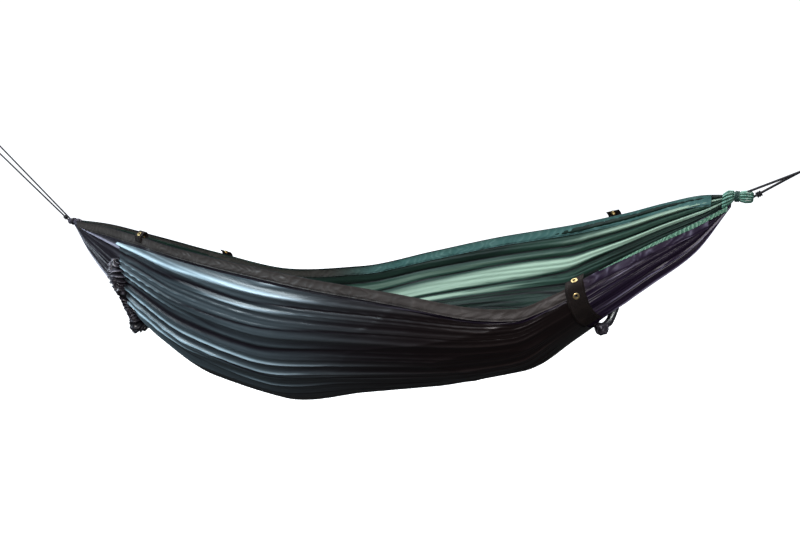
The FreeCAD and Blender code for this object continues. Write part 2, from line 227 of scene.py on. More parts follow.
def buildWeave():
    group, start, end = nodeGroup("Weave", [
        ("Vector", "NodeSocketVector", None), ("Threads", "NodeSocketFloat", 14000.0),
        ("Ripstop", "NodeSocketFloat", 0.0)], [("Height", "NodeSocketFloat")])
    split = put(group, "ShaderNodeSeparateXYZ")
    group.links.new(start.outputs["Vector"], split.inputs[0])
    waves = []
    for axis in ("X", "Y"):
        turned = math2(group, "MULTIPLY", split.outputs[axis], start.outputs["Threads"])
        waves.append(math2(group, "SINE", turned))
    weave = math2(group, "MULTIPLY", waves[0], waves[1])
    lines = []
    for axis in ("X", "Y"):
        cell = math2(group, "MULTIPLY", split.outputs[axis], 190.0)
        fraction = math2(group, "FRACT", cell)
        lines.append(math2(group, "LESS_THAN", fraction, 0.09))
    grid = math2(group, "MAXIMUM", lines[0], lines[1])
    heavy = math2(group, "MULTIPLY", grid, start.outputs["Ripstop"])
    group.links.new(math2(group, "ADD", weave, heavy), end.inputs["Height"])
    return group


def buildWear():
    group, start, end = nodeGroup("Wear", [
        ("Vector", "NodeSocketVector", None), ("Scale", "NodeSocketFloat", 6.0),
        ("Amount", "NodeSocketFloat", 0.5)], [("Mask", "NodeSocketFloat")])
    clouds = put(group, "ShaderNodeTexNoise", in_Detail=6.0, in_Roughness=0.62)
    group.links.new(start.outputs["Vector"], clouds.inputs["Vector"])
    group.links.new(start.outputs["Scale"], clouds.inputs["Scale"])
    ramp = put(group, "ShaderNodeMapRange")
    ramp.inputs["From Min"].default_value = 0.45
    ramp.inputs["From Max"].default_value = 0.72
    group.links.new(clouds.outputs[0], ramp.inputs["Value"])
    group.links.new(math2(group, "MULTIPLY", ramp.outputs[0], start.outputs["Amount"]), end.inputs["Mask"])
    return group


weaveGroup = buildWeave()
wearGroup = buildWear()


def material(name):
    made = bpy.data.materials.new(name)
    made.use_nodes = True
    tree = made.node_tree
    return made, tree, tree.nodes["Principled BSDF"]


def colourMix(tree, factor, a, b):
    node = tree.nodes.new("ShaderNodeMix")
    node.data_type = "RGBA"
    for socket, value in ((node.inputs[0], factor), (node.inputs[6], a), (node.inputs[7], b)):
        if isinstance(value, (tuple, float, int)):
            socket.default_value = value if isinstance(value, (float, int)) else (*value, 1.0)
        else:
            tree.links.new(value, socket)
    return node.outputs[2]


def ramped(tree, factor, colours):
    ramp = tree.nodes.new("ShaderNodeValToRGB")
    ramp.color_ramp.interpolation = "EASE"
    dark, middle, light = colours
    ramp.color_ramp.elements[0].color = (*dark, 1.0)
    ramp.color_ramp.elements[1].color = (*light, 1.0)
    ramp.color_ramp.elements.new(0.42).color = (*middle, 1.0)
    tree.links.new(factor, ramp.inputs[0])
    return ramp.outputs[0]


def clothMaterial(name, colours, rough, coat, streak, ripstop=0.25, sheen=0.0, bump=0.25, wear=0.25,
                  shine=0.5, other=None, span=(1.0, 2.0)):
    # coated nylon, coloured along a ramp by the painted light and shade that each mesh stores: painted shade
    # in its folds, painted highlights on the ridges, streaked along its length; other is what its colours
    # turn to from the first to the second place along the bed
    made, tree, shader = material(name)
    uv = put(tree, "ShaderNodeUVMap", uv_map="metres")
    paintedLight = put(tree, "ShaderNodeAttribute", attribute_name="paintedLight")
    stretch = put(tree, "ShaderNodeMapping")
    stretch.inputs["Scale"].default_value = (1.6, 26.0, 1.0)
    tree.links.new(uv.outputs[0], stretch.inputs[0])
    streaks = put(tree, "ShaderNodeTexNoise", in_Scale=1.0, in_Detail=5.0, in_Roughness=0.6)
    tree.links.new(stretch.outputs[0], streaks.inputs["Vector"])
    mixed = math2(tree, "MULTIPLY", math2(tree, "SUBTRACT", streaks.outputs[0], 0.5), streak)
    factor = math2(tree, "ADD", paintedLight.outputs["Fac"], mixed)
    colour = ramped(tree, factor, colours)
    place = put(tree, "ShaderNodeTexCoord")
    if other:
        split = put(tree, "ShaderNodeSeparateXYZ")
        tree.links.new(place.outputs["Object"], split.inputs[0])
        share = put(tree, "ShaderNodeMapRange", interpolation_type="SMOOTHSTEP")
        share.inputs["From Min"].default_value = span[0] + headEnd[0]
        share.inputs["From Max"].default_value = span[1] + headEnd[0]
        tree.links.new(split.outputs["X"], share.inputs["Value"])
        colour = colourMix(tree, share.outputs[0], colour, ramped(tree, factor, other))
    rubbed = put(tree, "ShaderNodeGroup", node_tree=wearGroup)
    tree.links.new(place.outputs["Object"], rubbed.inputs["Vector"])
    rubbed.inputs["Scale"].default_value = 7.0
    rubbed.inputs["Amount"].default_value = wear
    faded = put(tree, "ShaderNodeHueSaturation", in_Saturation=0.8, in_Value=1.5)
    tree.links.new(colour, faded.inputs["Color"])
    tree.links.new(colourMix(tree, rubbed.outputs[0], colour, faded.outputs[0]), shader.inputs["Base Color"])
    threads = put(tree, "ShaderNodeGroup", node_tree=weaveGroup)
    threads.inputs["Ripstop"].default_value = ripstop
    tree.links.new(uv.outputs[0], threads.inputs["Vector"])
    fine = put(tree, "ShaderNodeTexNoise", in_Scale=45.0, in_Detail=4.0)
    crumple = put(tree, "ShaderNodeMapping")
    crumple.inputs["Scale"].default_value = (0.35, 1.6, 1.0)
    tree.links.new(uv.outputs[0], crumple.inputs[0])
    tree.links.new(crumple.outputs[0], fine.inputs["Vector"])
    coarse = put(tree, "ShaderNodeBump", in_Strength=bump, in_Distance=0.004)
    tree.links.new(fine.outputs[0], coarse.inputs["Height"])
    close = put(tree, "ShaderNodeBump", in_Strength=0.10, in_Distance=0.00006)
    tree.links.new(threads.outputs[0], close.inputs["Height"])
    tree.links.new(coarse.outputs[0], close.inputs["Normal"])
    tree.links.new(close.outputs[0], shader.inputs["Normal"])
    rub = math2(tree, "ADD", math2(tree, "MULTIPLY", rubbed.outputs[0], 0.25), rough)
    tree.links.new(rub, shader.inputs["Roughness"])
    shader.inputs["Coat Weight"].default_value = coat
    shader.inputs["Coat Roughness"].default_value = rough * 0.7
    shader.inputs["Sheen Weight"].default_value = sheen
    shader.inputs["Specular IOR Level"].default_value = shine
    return made


def webbingMaterial(name, dark, light):
    made, tree, shader = material(name)
    uv = put(tree, "ShaderNodeUVMap", uv_map="metres")
    split = put(tree, "ShaderNodeSeparateXYZ")
    tree.links.new(uv.outputs[0], split.inputs[0])
    across = math2(tree, "MULTIPLY", split.outputs["X"], 900.0)
    zigzag = math2(tree, "PINGPONG", across, 4.0)
    along = math2(tree, "MULTIPLY", split.outputs["Y"], 4600.0)
    ribs = math2(tree, "SINE", math2(tree, "ADD", along, zigzag))
    wear = put(tree, "ShaderNodeGroup", node_tree=wearGroup)
    place = put(tree, "ShaderNodeTexCoord")
    tree.links.new(place.outputs["Object"], wear.inputs["Vector"])
    wear.inputs["Scale"].default_value = 40.0
    wear.inputs["Amount"].default_value = 0.7
    base = colourMix(tree, wear.outputs[0], dark, light)
    tree.links.new(colourMix(tree, math2(tree, "MULTIPLY", math2(tree, "ADD", ribs, 1.0), 0.2), base, light),
                   shader.inputs["Base Color"])
    bump = put(tree, "ShaderNodeBump", in_Strength=0.5, in_Distance=0.0006)
    tree.links.new(ribs, bump.inputs["Height"])
    tree.links.new(bump.outputs[0], shader.inputs["Normal"])
    shader.inputs["Roughness"].default_value = 0.72
    shader.inputs["Specular IOR Level"].default_value = 0.25
    return made


def braidMaterial(name, dark, light, scale=420.0):
    made, tree, shader = material(name)
    place = put(tree, "ShaderNodeTexCoord")
    crossing = []
    for turn in (0.78, -0.78):
        spin = put(tree, "ShaderNodeMapping")
        spin.inputs["Rotation"].default_value = (0.3, turn, turn)
        tree.links.new(place.outputs["Object"], spin.inputs[0])
        wave = put(tree, "ShaderNodeTexWave", in_Scale=scale, in_Distortion=0.4)
        tree.links.new(spin.outputs[0], wave.inputs["Vector"])
        crossing.append(wave.outputs["Fac"])
    height = math2(tree, "MULTIPLY", crossing[0], crossing[1])
    tree.links.new(colourMix(tree, height, dark, light), shader.inputs["Base Color"])
    bump = put(tree, "ShaderNodeBump", in_Strength=0.6, in_Distance=0.0006)
    tree.links.new(height, bump.inputs["Height"])
    tree.links.new(bump.outputs[0], shader.inputs["Normal"])
    shader.inputs["Roughness"].default_value = 0.6
    return made


def metalMaterial(name, colour, tarnish, rough, scratch):
    made, tree, shader = material(name)
    place = put(tree, "ShaderNodeTexCoord")
    wear = put(tree, "ShaderNodeGroup", node_tree=wearGroup)
    tree.links.new(place.outputs["Object"], wear.inputs["Vector"])
    wear.inputs["Scale"].default_value = 160.0
    wear.inputs["Amount"].default_value = 0.6
    tree.links.new(colourMix(tree, wear.outputs[0], colour, tarnish), shader.inputs["Base Color"])
    fine = put(tree, "ShaderNodeTexNoise", in_Scale=900.0, in_Detail=3.0)
    tree.links.new(place.outputs["Object"], fine.inputs["Vector"])
    rubbed = math2(tree, "ADD", math2(tree, "MULTIPLY", fine.outputs[0], scratch), rough)
    tree.links.new(rubbed, shader.inputs["Roughness"])
    shader.inputs["Metallic"].default_value = 1.0
    return made


# each colour set runs dark, middle, light along the cloth's ramp: the dark end is painted shade in folds and
# creases, the light end a painted highlight on the ridges
sleeveDark = ((0.010, 0.006, 0.006), (0.038, 0.026, 0.025), (0.22, 0.18, 0.19))
hemBrown = ((0.030, 0.026, 0.024), (0.062, 0.053, 0.049), (0.130, 0.115, 0.106))
hemGreen = ((0.010, 0.034, 0.033), (0.080, 0.190, 0.180), (0.26, 0.44, 0.40))
purple = ((0.009, 0.005, 0.014), (0.030, 0.018, 0.046), (0.40, 0.38, 0.54))
outerCloth = clothMaterial("outerNylon", ((0.010, 0.007, 0.012), (0.030, 0.026, 0.036), (0.34, 0.33, 0.42)),
                           0.36, 0.05, 0.25, other=purple, span=(1.5, 2.0), shine=0.35)
innerGreen = ((0.0008, 0.0015, 0.0015), (0.028, 0.066, 0.049), (0.40, 0.56, 0.44))
innerCloth = clothMaterial("innerNylon", innerGreen, 0.46, 0.0, 0.22, wear=0.08, shine=0.22)
# the sleeve's pale blue light end is a painted reflection on its fold ridges; from 1.0 m to 1.95 m it turns
# to the darker brown set, whose painted highlights are dimmer
sleeveCloth = clothMaterial("sleeveNylon", ((0.010, 0.008, 0.013), (0.070, 0.094, 0.108), (0.54, 0.72, 0.82)),
                            0.30, 0.12, 0.20, other=sleeveDark, span=(1.00, 1.95), shine=0.4)
hemCloth = clothMaterial("hemNylon", hemBrown, 0.45, 0.0, 0.3, other=purple, span=(2.03, 2.10), shine=0.3)
# the far hem keeps the near hem's brown-grey towards the head and turns green from 0.95 m to 1.25 m; the
# brown-grey head part is partly the hem tape's own colour and partly painted shade inside the bed
farHemCloth = clothMaterial("farHemNylon", hemBrown, 0.45, 0.0, 0.3, other=hemGreen, span=(0.95, 1.25),
                            shine=0.3)
turnedCloth = clothMaterial("turnedNylon", ((0.012, 0.045, 0.032), (0.10, 0.27, 0.18), (0.36, 0.62, 0.46)),
                            0.42, 0.0, 0.3, shine=0.3)
mouthCloth = clothMaterial("mouthNylon", ((0.006, 0.005, 0.008), (0.07, 0.063, 0.08), (0.50, 0.48, 0.55)),
                           0.30, 0.3, 0.4)
headTip = ((0.006, 0.004, 0.008), (0.03, 0.022, 0.035), (0.18, 0.15, 0.20))
footTip = ((0.004, 0.018, 0.014), (0.045, 0.15, 0.10), (0.24, 0.52, 0.42))
headTipCloth = clothMaterial("headTipNylon", headTip, 0.34, 0.2, 0.4)
footTipCloth = clothMaterial("footTipNylon", footTip, 0.34, 0.2, 0.4)
strapWeb = webbingMaterial("strapWebbing", (0.009, 0.0055, 0.0045), (0.026, 0.017, 0.014))
cordBraid = braidMaterial("cordBraid", (0.006, 0.005, 0.008), (0.035, 0.030, 0.038))
lineBraid = braidMaterial("lineBraid", (0.008, 0.007, 0.010), (0.05, 0.045, 0.055), 700.0)
threadBraid = braidMaterial("threadBraid", (0.012, 0.010, 0.012), (0.06, 0.05, 0.05), 900.0)
greenThread = braidMaterial("greenThread", (0.010, 0.040, 0.035), (0.05, 0.14, 0.11), 900.0)
brassMetal = metalMaterial("brassMetal", (0.90, 0.70, 0.34), (0.45, 0.28, 0.10), 0.30, 0.15)
alloyMetal = metalMaterial("alloyMetal", (0.42, 0.44, 0.47), (0.16, 0.17, 0.19), 0.30, 0.2)
gateMetal = metalMaterial("gateMetal", (0.50, 0.51, 0.53), (0.2, 0.2, 0.21), 0.26, 0.2)
steelMetal = metalMaterial("steelMetal", (0.55, 0.54, 0.52), (0.2, 0.17, 0.14), 0.28, 0.25)
print("materials")


# folds
def ridges(phase, power):
    return (1 - np.abs(np.sin(math.pi * phase))) ** power


def edgeFade(s, width, keep):
    return keep + (1 - keep) * smooth(0, width, 1 - np.abs(s))


# places of the straps along the edges: middle of the top, and middle of the slanted foot ones lower down
straps = {"head": 0.562, "foot": 2.048, "footLow": 2.062, "width": 0.038, "thickness": 0.002, "slant": 0.2}


def strapRoom(x, s, at, side):
    # 0 under the strap at a place along an edge, 1 elsewhere
    return 1 - np.exp(-((x - at) / 0.040) ** 4) * smooth(0.42, 0.52, side * s)


pleats = {"count": 27, "depth": 0.80, "deepest": 0.036, "sharp": 0.9}


def gathers(x, s):
    # deep pleats that both layers share, from the cloth that is spare in a smaller girth
    girth = girthAt(x)
    spare = np.sqrt(np.clip(bed["girth"] / girth - 1, 0.02, 3.0))
    count = pleats["count"]
    phase = (s * 0.5 + 0.5) * count + 1.1 * noise(s * 4 + 20, x * 0.9, 11)
    phase = phase + 0.35 * noise(s * 11 + 9, x * 2.3, 12)
    wave = np.abs(np.sin(math.pi * phase)) ** pleats["sharp"]
    size = 0.66 + 0.34 * noise(np.floor(phase) * 1.37 + 0.5, x * 1.3, 13)
    fine = pleatWave(s, x, count * 2.7, 31, 1.0)
    value = wave * size * 0.78 + 0.22 * fine
    depth = np.minimum(girth / count * np.clip(pleats["depth"] * spare, 0, 1.1), pleats["deepest"])
    room = 0.1 + 0.9 * strapRoom(x, s, straps["head"], -1)
    return value, depth * edgeFade(s, 0.05, 0.3) * room, phase


def place(piece, node, slotName):
    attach(piece, body)
    if node:
        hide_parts(node)
    return piece


# inner layer
xs = np.linspace(bed["first"], bed["last"], rowCount)
ones = np.ones(rowCount)
x, s, uv = clothGrid(xs, -ones, ones, acrossCount)
value, depth, phase = gathers(x, s)
push = -0.0034 - depth * value  # stays inside the outer layer
# the next lines paint light and shade onto the pleats: painted light on one flank of each pleat, stronger on
# some pleats than others, and painted shade in the valleys and creases
pleatLight = np.clip(0.48 + 0.80 * noise(np.floor(phase) * 2.11 + 3.3, x * 0.8, 41), 0.08, 1)
lit = smooth(0.0, 0.30, phase % 1) * (1 - 0.75 * smooth(0.55, 1.0, phase % 1))
valley = smooth(0.74, 0.93, 1 - np.abs(np.sin(math.pi * phase)))
crease = ridges(phase * 3 + 0.5 * noise(s * 9, x * 1.5, 43), 4.0)
crease = crease * np.clip(0.4 + noise(s * 13, x * 1.2, 45), 0, 1)
shade = np.clip((0.10 + 1.0 * lit * pleatLight) * (1 - valley) - 0.35 * crease, 0, 1)
points = skin(x, s) + outward(x, s) * push[..., None]
innerPanel = gridMesh("innerCloth", points, shade, uv, innerCloth, flip=True)
place(innerPanel, "inner_panel", "inner_nylon")
print("inner layer")

# outer layer: follows the gathers where the sleeve hides it, thin ridges where it shows
shown = 1 - smooth(0.40, 0.45, x) * (1 - smooth(2.05, 2.15, x))
fine = ridges((s * 0.5 + 0.5) * 22 + 0.8 * noise(s * 5 + 3, x * 1.6, 71), 1.7)
fine = fine * np.clip(0.50 + 0.85 * noise(s * 19, x * 3, 73), 0, 1)
cross = ridges(s * 9 + x * 2.5 + 1.2 * noise(s * 6, x * 7, 75), 3.0) * np.clip(noise(s * 8, x * 9, 77), 0, 1)
girth = girthAt(x)
lift = np.minimum(girth / 45, 0.007) * fine + 0.003 * cross
lift = lift * strapRoom(x, s, straps["footLow"], -1) * strapRoom(x, s, straps["footLow"], 1)
push = -0.92 * depth * value * (1 - 0.40 * shown) + lift * shown * edgeFade(s, 0.08, 0.1)
points = skin(x, s) + outward(x, s) * push[..., None]
# painted shade in the gathers and painted highlights on the thin ridges and cross wrinkles, strongest where
# the outer layer shows
shade = np.clip(0.30 * (1 - value) + (1.05 * fine + 0.6 * cross) * (0.15 + 0.85 * shown), 0, 1)
outerPanel = place(gridMesh("outerCloth", points, shade, uv, outerCloth), "outer_panel", "outer_nylon")
print("outer layer")

# sleeve under the bed: folds fan out of its head mouth and die away towards the foot
sleeve = {"start": 0.425, "end": 2.064, "drop": 0.037, "lean": 0.06}
xs = np.linspace(sleeve["start"], sleeve["end"], rowCount)
lowS = np.array([shareAt(v, -1, sleeve["drop"]) for v in xs])
highS = np.array([shareAt(v, 1, sleeve["drop"]) for v in xs])
x, s, uv = clothGrid(xs, lowS, highS, acrossCount)
along = (x - sleeve["start"]) / (sleeve["end"] - sleeve["start"])
fan = (s + 1) - sleeve["lean"] * along
fan = fan + 0.02 * noise(fan * 3, along * 2.2, 90)
gate = np.clip(0.45 + 1.1 * noise(fan * 14, along * 2.4 + 2, 92), 0, 1)
broad = ridges(fan * 6.0 + 0.5 * noise(fan * 4, along * 0.8, 91), 1.2)
thin = ridges(fan * 15 + 0.7 * noise(fan * 7, along * 1.3, 93), 2.2) * gate
hair = ridges(fan * 26 + 1.0 * noise(fan * 15, along * 2.6, 95), 2.2)
hair = hair * np.clip(noise(fan * 19, along * 4, 96), 0, 1)
crease = ridges(fan * 8.5 + 0.7 * noise(fan * 6, along * 1.2, 99), 5.0)
upper = ridges(fan * 23 + 0.9 * noise(fan * 9, along * 1.6, 100), 1.3) * (1 - smooth(0.22, 0.48, fan))
slack = ridges(s * 3.2 + along * 5.5 + 0.9 * noise(s * 5, along * 6, 98), 3.0) * smooth(0.45, 0.75, along)
fade = 1 - 0.70 * smooth(0.38, 0.80, along)
gather = np.exp(-((x - sleeve["start"]) / 0.08) ** 2)
pinch = ridges(s * 19 + 0.7 * noise(s * 7, x * 9, 97), 1.6)
edges = edgeFade(s, 0.09, 0.15) * strapRoom(x, s, straps["head"], 1) * (1 - smooth(1.96, 2.02, x))
low = 1 - 0.75 * smooth(0.45, 0.85, fan)
push = 0.0022 + low * (0.009 * broad * fade + 0.011 * thin * fade + 0.003 * hair + 0.005 * slack * (1 - fade)
                       + 0.0045 * upper * fade + 0.005 * pinch * gather - 0.002 * crease) * edges
# painted highlight streaks along the fold ridges, fading towards the foot, painted highlights on the pinches
# at the mouth, painted shade in the creases and towards the underside, and a little darker near the top edge
ground = 0.27 + 0.22 * noise(fan * 5 + 2, along * 2, 94)
shade = fade * (ground + 0.20 * broad + 0.95 * thin + 0.25 * upper - 0.45 * crease)
shade = shade + 0.35 * hair + 0.25 * pinch * gather - 0.12 * (1 - smooth(0.25, 0.50, fan))
shade = np.clip(shade - 0.20 * smooth(0.50, 1.0, fan), 0, 1)
points = skin(x, s) + outward(x, s) * push[..., None]
matSleeve = place(gridMesh("sleeveCloth", points, shade, uv, sleeveCloth), "mat_sleeve", "sleeve_nylon")
print("sleeve")


# hems
hems = {"width": 0.030, "first": 0.075, "last": 2.325, "rows": 13}


def hemPiece(name, side, out, cloth, node, slotName, waves, drop):
    rows = hems["rows"]
    xs = np.linspace(hems["first"], hems["last"], rowCount * 2)
    edge = np.full(len(xs), float(side))
    inner = np.array([shareAt(v, side, hems["width"]) for v in xs])
    x, s, uv = clothGrid(xs, edge, inner, rows) if side < 0 else clothGrid(xs, inner, edge, rows)
    t = np.linspace(0, 1, rows)[None, :] * np.ones_like(x)
    if side > 0:
        t = 1 - t
    pucker = noise(x * waves, t * 2.0, 120 + side) * 0.5 + 0.5
    ticks = ridges(x * waves * 1.6 + 0.8 * noise(x * 30, t * 2, 141) + 0.6 * t, 1.6)
    lift = 0.0004 + 0.0022 * pucker + 0.0013 * ticks + 0.0020 * np.exp(-(t / 0.16) ** 2)
    seamDepth = 0.0012
    seam = seamDepth * np.exp(-((t - 0.90) / 0.05) ** 2)
    push = out * (drop + lift - seam)
    # painted highlights on the puckers and ticks, painted shade in the seam groove
    shade = np.clip(0.30 + 0.22 * pucker + 0.22 * ticks - 0.4 * seam / seamDepth, 0, 1)
    points = skin(x, s) + outward(x, s) * push[..., None]
    return place(gridMesh(name, points, shade, uv, cloth, flip=out < 0), node, slotName)


nearHem = hemPiece("nearHemCloth", -1, 1, hemCloth, "near_hem", "hem_nylon", 19.0, 0.0014)

# edge of the inner layer turned out over the near hem towards the foot
turned = {"along": [2.10, 2.16, 2.30, 2.36], "widths": [0.001, 0.005, 0.011, 0.008],
          "columns": 220, "rows": 9}
xs = np.linspace(turned["along"][0], turned["along"][-1], turned["columns"])
widths = np.interp(xs, turned["along"], turned["widths"])
lowS = -np.ones(turned["columns"])
x, s, uv = clothGrid(xs, lowS, np.array([shareAt(v, -1, w) for v, w in zip(xs, widths)]), turned["rows"])
t = np.linspace(0, 1, turned["rows"])[None, :] * np.ones_like(x)
ticks = ridges(x * 130 + 0.7 * noise(x * 60, t * 2, 151) + 0.5 * t, 1.4)
points = skin(x, s) + outward(x, s) * (0.0075 + 0.0022 * ticks)[..., None]
# the ticks are painted lighter: painted highlights on their ridges
turnedEdge = place(gridMesh("turnedEdge", points, 0.35 + 0.6 * ticks, uv, turnedCloth), None, "inner_nylon")
farHem = hemPiece("farHemCloth", 1, -1, farHemCloth, "far_hem", "inner_hem_nylon", 23.0, 0.0090)
print("hems")


# straps over the edges
def cutCorners(points, rounds=3):
    for _ in range(rounds):
        cut = [points[0]]
        for a, b in zip(points[:-1], points[1:]):
            cut += [a * 0.75 + b * 0.25, a * 0.25 + b * 0.75]
        points = np.array(cut + [points[-1]])
    return points


def evenPoints(points, count):
    runs = np.concatenate([[0], np.cumsum(np.linalg.norm(np.diff(points, axis=0), axis=1))])
    want = np.linspace(0, runs[-1], count)
    return np.stack([np.interp(want, runs, points[:, i]) for i in (0, 1)], -1), runs[-1]


def strapPlace(x, side, depth, out):
    if depth < 0:
        top, below = skin(x, side), skin(x, side * 0.99)
        away = (top - below) / np.linalg.norm(top - below)
        return top - away * depth + outward(x, side) * out
    share = shareAt(x, side, depth)
    return skin(x, share) + outward(x, share) * out


def closedStrip(name, centre, normals, half, uvGrid, cloth):
    # two faces a thickness apart with rounded edges all round
    rows, columns = centre.shape[:2]
    outer, inner = centre + normals * half, centre - normals * half
    points = np.concatenate([outer.reshape(-1, 3), inner.reshape(-1, 3)])
    index = np.arange(rows * columns).reshape(rows, columns)
    back = index + rows * columns
    quads = []
    for i in range(rows - 1):
        for j in range(columns - 1):
            quads.append((index[i, j], index[i + 1, j], index[i + 1, j + 1], index[i, j + 1]))
            quads.append((back[i, j], back[i, j + 1], back[i + 1, j + 1], back[i + 1, j]))
    rim = [(i, 0) for i in range(rows)] + [(rows - 1, j) for j in range(1, columns)]
    rim += [(i, columns - 1) for i in range(rows - 2, -1, -1)] + [(0, j) for j in range(columns - 2, 0, -1)]
    for (a, b), (c, d) in zip(rim, rim[1:] + rim[:1]):
        quads.append((index[a, b], back[a, b], back[c, d], index[c, d]))
    mesh = bpy.data.meshes.new(name)
    mesh.from_pydata(points.tolist(), [], [tuple(int(v) for v in q) for q in quads])
    mesh.polygons.foreach_set("use_smooth", [True] * len(quads))
    layer = mesh.uv_layers.new(name="metres")
    flat = np.concatenate([uvGrid.reshape(-1, 2), uvGrid.reshape(-1, 2)])
    corners = np.zeros(len(mesh.loops), int)
    mesh.loops.foreach_get("vertex_index", corners)
    layer.data.foreach_set("uv", flat[corners].reshape(-1))
    mesh.materials.append(cloth)
    thing = bpy.data.objects.new(name, mesh)
    bpy.context.scene.collection.objects.link(thing)
    tidyNormals(mesh)
    return thing


def tidyNormals(mesh):
    work = bmesh.new()
    work.from_mesh(mesh)
    bmesh.ops.recalc_face_normals(work, faces=work.faces)
    work.to_mesh(mesh)
    work.free()


def drill(thing, places, radius=0.0047, depth=0.012):
    # eyelet holes through a strap
    for centre, facing in places:
        mesh = bpy.data.meshes.new("drill")
        work = bmesh.new()
        turn = Vector(facing).to_track_quat("Z", "Y").to_matrix().to_4x4()
        bmesh.ops.create_cone(work, cap_ends=True, segments=40, radius1=radius, radius2=radius, depth=depth,
                              matrix=Matrix.Translation(centre) @ turn)
        work.to_mesh(mesh)
        work.free()
        tool = bpy.data.objects.new("drill", mesh)
        bpy.context.scene.collection.objects.link(tool)
        cutter = thing.modifiers.new("hole", "BOOLEAN")
        cutter.object = tool
        cutter.operation = "DIFFERENCE"
        cutter.solver = "EXACT"
        shape = bpy.data.meshes.new_from_object(thing.evaluated_get(bpy.context.evaluated_depsgraph_get()))
        thing.modifiers.clear()
        thing.data = shape
        bpy.data.objects.remove(tool)


# run of a strap over its edge: distance below the edge and outward from the cloth, in millimetres
overEdgeOut = np.array([(-15.2, -4.7), (-8.5, 2.0), (-1.8, 8.7), (12, 8.6), (22, 6.6), (34, 5.9), (60, 5.8),
                        (100, 5.8), (152, 5.8)]) / 1000
overEdgeIn = np.array([(18, 5.6), (8, 8.0), (-1.8, 8.7), (-8.5, 2.0), (-15.2, -4.7), (-18, -12), (-11, -19),
                       (4, -17), (20, -13), (40, -10.5), (60, -9.6), (100, -9.6), (150, -9.6)]) / 1000
# middle and facing of the two eyelets of each strap
strapEyelets = {
    "head_near_strap": (((1.05704, -0.18888, -0.30994), (-0.17, -0.61, 0.78)),
                        ((1.06236, -0.17291, -0.32647), (0.27, 0.91, -0.30))),
    "head_far_strap": (((1.05723, 0.24028, -0.44920), (-0.01, 0.57, 0.82)),
                       ((1.05554, 0.25056, -0.48915), (-0.36, 0.93, 0.01))),
    "foot_near_strap": (((2.54406, -0.20721, -0.29391), (-0.28, -0.49, 0.82)),
                        ((2.55294, -0.21629, -0.32939), (0.51, -0.86, -0.03))),
    "foot_far_strap": (((2.54411, 0.16058, -0.17492), (-0.02, 0.63, 0.77)),
                       ((2.55212, 0.16637, -0.21306), (0.37, 0.93, -0.01)))}


def strapPiece(node, at, side, profile, slant):
    columns, across = 90, 9
    line, length = evenPoints(cutCorners(profile), columns)
    half = straps["width"] / 2
    offsets = np.linspace(-half, half, across)
    centre = np.array([[strapPlace(at + o + slant * max(d, 0), side, d, out) for d, out in line]
                       for o in offsets])
    down = np.gradient(centre, axis=1)
    sideways = np.gradient(centre, axis=0)
    normals = np.cross(sideways, down)
    normals /= np.linalg.norm(normals, axis=-1, keepdims=True)
    uvGrid = np.stack(np.meshgrid(offsets, np.linspace(0, length, columns), indexing="ij"), -1)
    thing = closedStrip(node + "_webbing", centre, normals, straps["thickness"] / 2, uvGrid, strapWeb)
    drill(thing, strapEyelets[node])
    place(thing, node, "webbing")
    return centre, normals


strapNets = {}
for node, at, side, profile, slant in (
        ("head_near_strap", straps["head"], -1, overEdgeIn, 0.0),
        ("head_far_strap", straps["head"], 1, overEdgeOut, 0.0),
        ("foot_near_strap", straps["foot"], -1, overEdgeOut, straps["slant"]),
        ("foot_far_strap", straps["foot"], 1, overEdgeOut, straps["slant"])):
    strapNets[node] = strapPiece(node, at, side, profile, slant)
print("straps")


# bunched mouths of the sleeve
def tubeMesh(name, rings, values, cloth, girth=0.09):
    # rings: stations by turns by 3, closed round each ring and capped at both ends
    stations, turns = rings.shape[:2]
    points = np.concatenate([rings.reshape(-1, 3), rings[0].mean(0)[None], rings[-1].mean(0)[None]])
    index = np.arange(stations * turns).reshape(stations, turns)
    faces = []
    for i in range(stations - 1):
        for j in range(turns):
            k = (j + 1) % turns
            faces.append((index[i, j], index[i, k], index[i + 1, k], index[i + 1, j]))
    for j in range(turns):
        k = (j + 1) % turns
        faces.append((index[0, k], index[0, j], stations * turns))
        faces.append((index[-1, j], index[-1, k], stations * turns + 1))
    mesh = bpy.data.meshes.new(name)
    mesh.from_pydata(points.tolist(), [], [tuple(int(v) for v in f) for f in faces])
    mesh.polygons.foreach_set("use_smooth", [True] * len(faces))
    # the per-point values are painted light and shade, read by the cloth's colour ramp
    attribute = mesh.attributes.new("paintedLight", "FLOAT", "POINT")
    attribute.data.foreach_set("value", np.concatenate([values.reshape(-1), [0.2, 0.2]]))
    layer = mesh.uv_layers.new(name="metres")
    corners = np.zeros(len(mesh.loops), int)
    mesh.loops.foreach_get("vertex_index", corners)
    line = rings.mean(1)
    run = np.concatenate([[0], np.cumsum(np.linalg.norm(np.diff(line, axis=0), axis=1))])
    run = np.concatenate([np.repeat(run, turns), [run[0], run[-1]]])
    turn = np.concatenate([np.tile(np.arange(turns), stations), [0, 0]]) * girth / turns
    layer.data.foreach_set("uv", np.stack([run, turn], -1)[corners].reshape(-1))
    tidyNormals(mesh)
    mesh.materials.append(cloth)
    thing = bpy.data.objects.new(name, mesh)
    bpy.context.scene.collection.objects.link(thing)
    return thing


